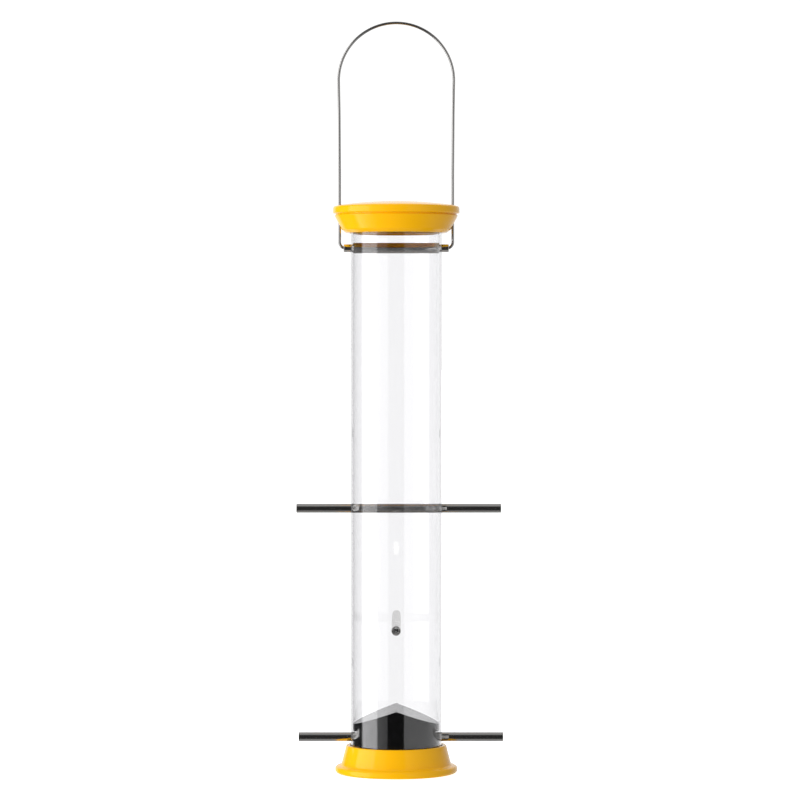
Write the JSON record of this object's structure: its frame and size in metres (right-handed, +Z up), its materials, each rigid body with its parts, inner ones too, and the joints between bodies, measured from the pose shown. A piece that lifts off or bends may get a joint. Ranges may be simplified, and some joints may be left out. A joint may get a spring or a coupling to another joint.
{
  "type": "hanging bird feeder",
  "caption": "Clear tube seed feeder with a sliding lid on a wire bail, through perches, a roof-shaped seed baffle and a pull-off flared base.",
  "frame": {"origin": "on the tube's axis, at the level that the base's foot rests on", "axes": "+Z up along the tube towards the bail, +X along the upper and lower perches, -Y the front"},
  "size_m": [0.1441, 0.1424, 0.5223],
  "materials": {
    "clear_tube": "clear polycarbonate, polished",
    "yellow_enamel": "semi-gloss powder coat on die-cast metal",
    "perch_steel": "drawn stainless tube",
    "wire_steel": "drawn stainless wire",
    "bar_metal": "satin",
    "black_plastic": "glossy black moulding",
    "ring_rubber": "matte"
  },
  "bodies": {
    "feeder_body": {"feeder_tube": "clear_tube", "spacer_bar": "bar_metal", "bail_bushing_left": "bar_metal", "bail_bushing_right": "bar_metal", "seed_baffle": "black_plastic"},
    "bail": {"bail_wire": "wire_steel"},
    "lid_body": {"lid": "yellow_enamel"},
    "upper_perch_body": {"upper_perch": "perch_steel"},
    "middle_perch_body": {"middle_perch": "perch_steel"},
    "lower_perch_body": {"lower_perch": "perch_steel"},
    "base": {"base_shell": "yellow_enamel", "base_ring": "ring_rubber"}
  },
  "joints": [
    {"name": "bail_swing", "type": "hinge", "parent": "feeder_body", "child": "bail", "pos_m": [0, 0, 0.365], "axis": [1, 0, 0], "range_deg": [-1, 1]},
    {"name": "lid_slide", "type": "slide", "parent": "bail", "child": "lid_body", "axis": [0, 0, 1], "range_m": [0, 0.085]},
    {"name": "upper_perch_slide", "type": "slide", "parent": "feeder_body", "child": "upper_perch_body", "axis": [1, 0, 0], "range_m": [0, 0.105]},
    {"name": "middle_perch_slide", "type": "slide", "parent": "feeder_body", "child": "middle_perch_body", "axis": [0, -1, 0], "range_m": [0, 0.105]},
    {"name": "lower_perch_slide", "type": "slide", "parent": "feeder_body", "child": "lower_perch_body", "axis": [1, 0, 0], "range_m": [0, 0.105]},
    {"name": "base_drop", "type": "slide", "parent": "feeder_body", "child": "base", "axis": [0, 0, -1], "range_m": [0, 0.03]}
  ]
}
